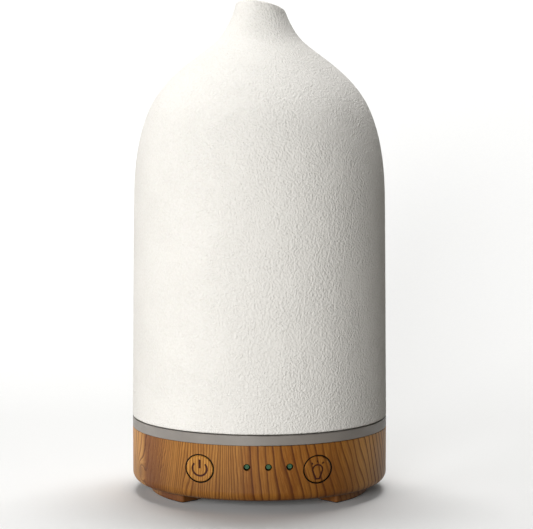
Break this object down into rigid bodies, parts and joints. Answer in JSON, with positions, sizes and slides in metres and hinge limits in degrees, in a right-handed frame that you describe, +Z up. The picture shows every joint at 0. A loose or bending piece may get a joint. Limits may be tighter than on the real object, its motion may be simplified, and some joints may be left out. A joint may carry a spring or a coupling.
{
  "type": "essential oil diffuser",
  "caption": "Ultrasonic essential oil diffuser: matt white ceramic bottle-shaped cover over a water tank, on a round wood-grain base with two buttons, indicator lights and a fan.",
  "frame": {"origin": "centre of the base on the resting surface, at the underside of the foot pads", "axes": "+Z up along the axis of the base, -Y towards the side with the buttons, +X to the right seen from that side"},
  "size_m": [0.09, 0.09, 0.1731],
  "materials": {
    "ceramic": "matt, fine pitted bisque",
    "wood_print": "satin wood-grain print",
    "ring_grey": "matt translucent grey",
    "frosted_white": "frosted translucent",
    "tank_white": "semi-gloss moulded",
    "silicone": "matt",
    "pad_rubber": "matt",
    "black_plastic": "fine moulded",
    "board": "solder-masked",
    "steel": "zinc plated",
    "brass": "plated",
    "copper_winding": "enamelled",
    "piezo": "silvered",
    "aluminium": "extruded",
    "led_case": "clear",
    "indicator_green": "clear tinted",
    "magnet": "sintered",
    "connector_white": "moulded",
    "capacitor_sleeve": "shrink sleeve",
    "lead_insulation": "matt"
  },
  "bodies": {
    "base": {"water_tank": "tank_white", "ring_gasket": "silicone", "light_ring": "ring_grey", "transducer_disc": "piezo", "transducer_seal": "silicone", "transducer_retainer": "black_plastic", "transducer_screws": "steel", "led_ring_board": "board", "ring_leds": "led_case", "led_board_screws": "steel", "base_shell": "wood_print", "foot_pads": "pad_rubber", "base_screws": "steel", "power_switch": "black_plastic", "light_switch": "black_plastic", "indicator_light_pipe": "indicator_green", "indicator_leds": "led_case", "control_board": "board", "main_board": "board", "main_board_screws": "steel", "main_ic": "black_plastic", "driver_transistor": "black_plastic", "heat_sink": "aluminium", "capacitors": "capacitor_sleeve", "inductor": "magnet", "connectors": "connector_white", "fan_frame": "black_plastic", "fan_bearing": "brass", "fan_stator": "copper_winding", "fan_screws": "steel", "dc_jack_body": "black_plastic", "dc_jack_pin": "brass", "dc_jack_contacts": "brass", "fan_lead": "lead_insulation", "transducer_lead": "lead_insulation", "led_ring_lead": "lead_insulation", "control_lead": "lead_insulation"},
    "inner_cover": {"inner_cover": "frosted_white"},
    "ceramic_cover": {"ceramic_cover": "ceramic"},
    "power_button": {"power_button": "wood_print", "power_switch_plunger": "black_plastic"},
    "light_button": {"light_button": "wood_print", "light_switch_plunger": "black_plastic"},
    "fan_rotor": {"fan_rotor": "black_plastic", "fan_magnet": "magnet", "fan_shaft": "steel"}
  },
  "joints": [
    {"name": "inner_cover_lift", "type": "slide", "parent": "base", "child": "inner_cover", "axis": [0, 0, 1], "range_m": [0, 0.06]},
    {"name": "ceramic_cover_lift", "type": "slide", "parent": "inner_cover", "child": "ceramic_cover", "axis": [0, 0, 1], "range_m": [0, 0.12]},
    {"name": "power_button_press", "type": "slide", "parent": "base", "child": "power_button", "axis": [0, 1, 0], "range_m": [0, 0.0004], "stiffness_N_per_m": 2500, "springref_m": -0.0003},
    {"name": "light_button_press", "type": "slide", "parent": "base", "child": "light_button", "axis": [0, 1, 0], "range_m": [0, 0.0004], "stiffness_N_per_m": 2500, "springref_m": -0.0003},
    {"name": "fan_spin", "type": "hinge", "parent": "base", "child": "fan_rotor", "pos_m": [-0.0115, 0.0035, 0.0115], "axis": [0, 0, 1], "continuous": true}
  ]
}
